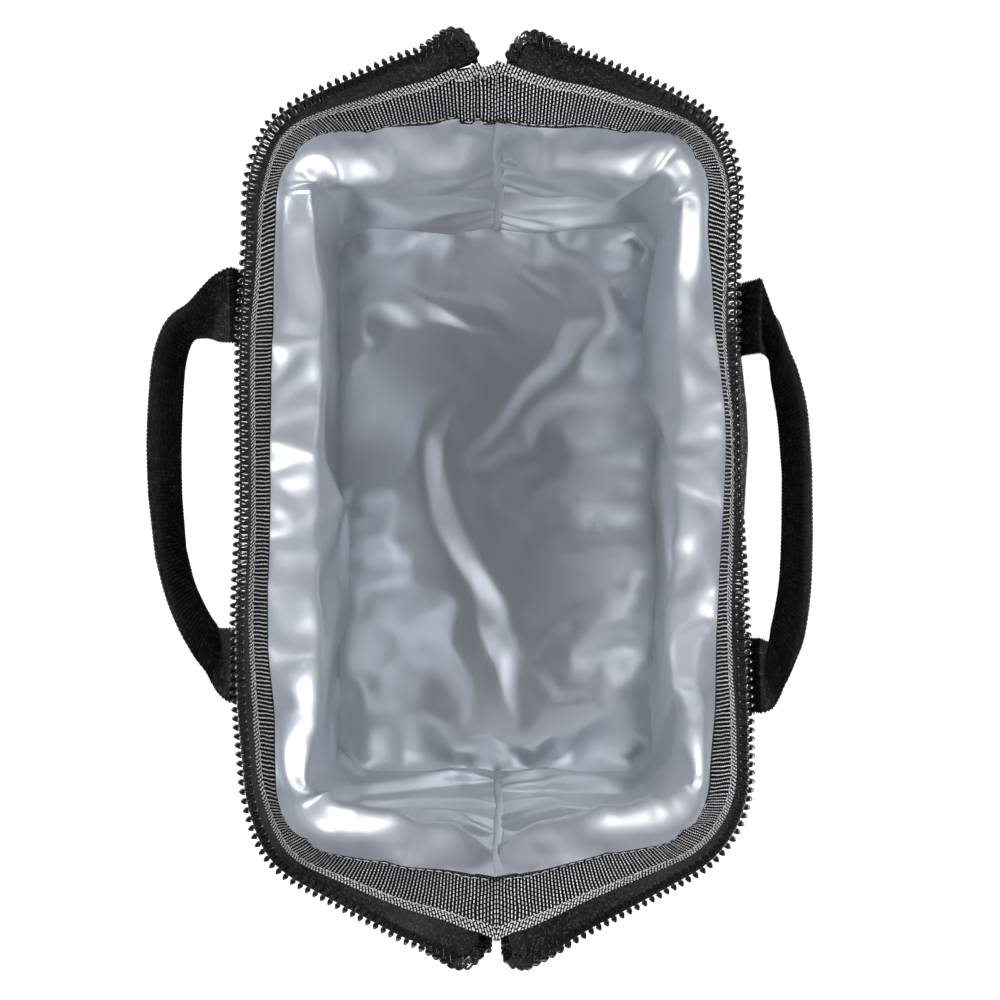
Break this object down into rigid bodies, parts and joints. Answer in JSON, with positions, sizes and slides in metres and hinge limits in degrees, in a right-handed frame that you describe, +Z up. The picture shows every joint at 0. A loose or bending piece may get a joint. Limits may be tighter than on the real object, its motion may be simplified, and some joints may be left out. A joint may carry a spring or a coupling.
{
  "type": "lunch bag",
  "caption": "Soft insulated lunch bag with a wide open zipped mouth, foil liner, ribbed inner binding and two webbing carry handles.",
  "frame": {"origin": "centre of the underside of the base", "axes": "+X along the long axis, away from the zip's tail; -Y the front wall; +Z up through the mouth"},
  "size_m": [0.3137, 0.2312, 0.1993],
  "materials": {
    "shell_fabric": "woven charcoal fabric with pale flecks, matte",
    "foam": "closed-cell foam, matte",
    "foil_liner": "satin metallised film, creased",
    "board": "matte board",
    "binding": "ribbed grosgrain tape in black and white",
    "zip_tape": "fine black woven tape, matte",
    "zip_teeth": "moulded black plastic, glossy",
    "webbing": "coarse black woven webbing, matte",
    "slider_metal": "black enamelled die-casting, semi-gloss"
  },
  "bodies": {
    "bag": {"base_fabric": "shell_fabric", "base_foam": "foam", "base_board": "board", "base_liner": "foil_liner", "shell_front": "shell_fabric", "shell_back": "shell_fabric", "foam_front": "foam", "foam_back": "foam", "liner_front": "foil_liner", "liner_back": "foil_liner", "end_seam_left": "foil_liner", "end_seam_right": "foil_liner", "binding_front": "binding", "binding_back": "binding", "zip_tape_front": "zip_tape", "zip_tape_back": "zip_tape", "zip_teeth_front": "zip_teeth", "zip_teeth_back": "zip_teeth", "zip_top_stops": "zip_teeth", "zip_bottom_stop": "zip_teeth", "zip_tail_tab": "webbing", "handle_end_front_left": "webbing", "handle_end_front_right": "webbing", "handle_end_back_left": "webbing", "handle_end_back_right": "webbing"},
    "slider": {"slider_body": "slider_metal", "slider_bridge": "slider_metal"},
    "puller": {"pull_tab": "slider_metal"},
    "handle_front": {"handle_strap_front": "webbing"},
    "handle_back": {"handle_strap_back": "webbing"}
  },
  "joints": [
    {"name": "slider_travel", "type": "slide", "parent": "bag", "child": "slider", "axis": [0, 0, 1], "range_m": [0, 0.012]},
    {"name": "puller_swing", "type": "hinge", "parent": "slider", "child": "puller", "pos_m": [-0.1552, 0, 0.1555], "axis": [0, 1, 0], "range_deg": [0, 150]},
    {"name": "handle_front_swing", "type": "hinge", "parent": "bag", "child": "handle_front", "pos_m": [0.0035, -0.0993, 0.184], "axis": [-1, 0, 0], "range_deg": [-25, 115]},
    {"name": "handle_back_swing", "type": "hinge", "parent": "bag", "child": "handle_back", "pos_m": [0.0035, 0.0993, 0.184], "axis": [1, 0, 0], "range_deg": [-25, 115]}
  ]
}
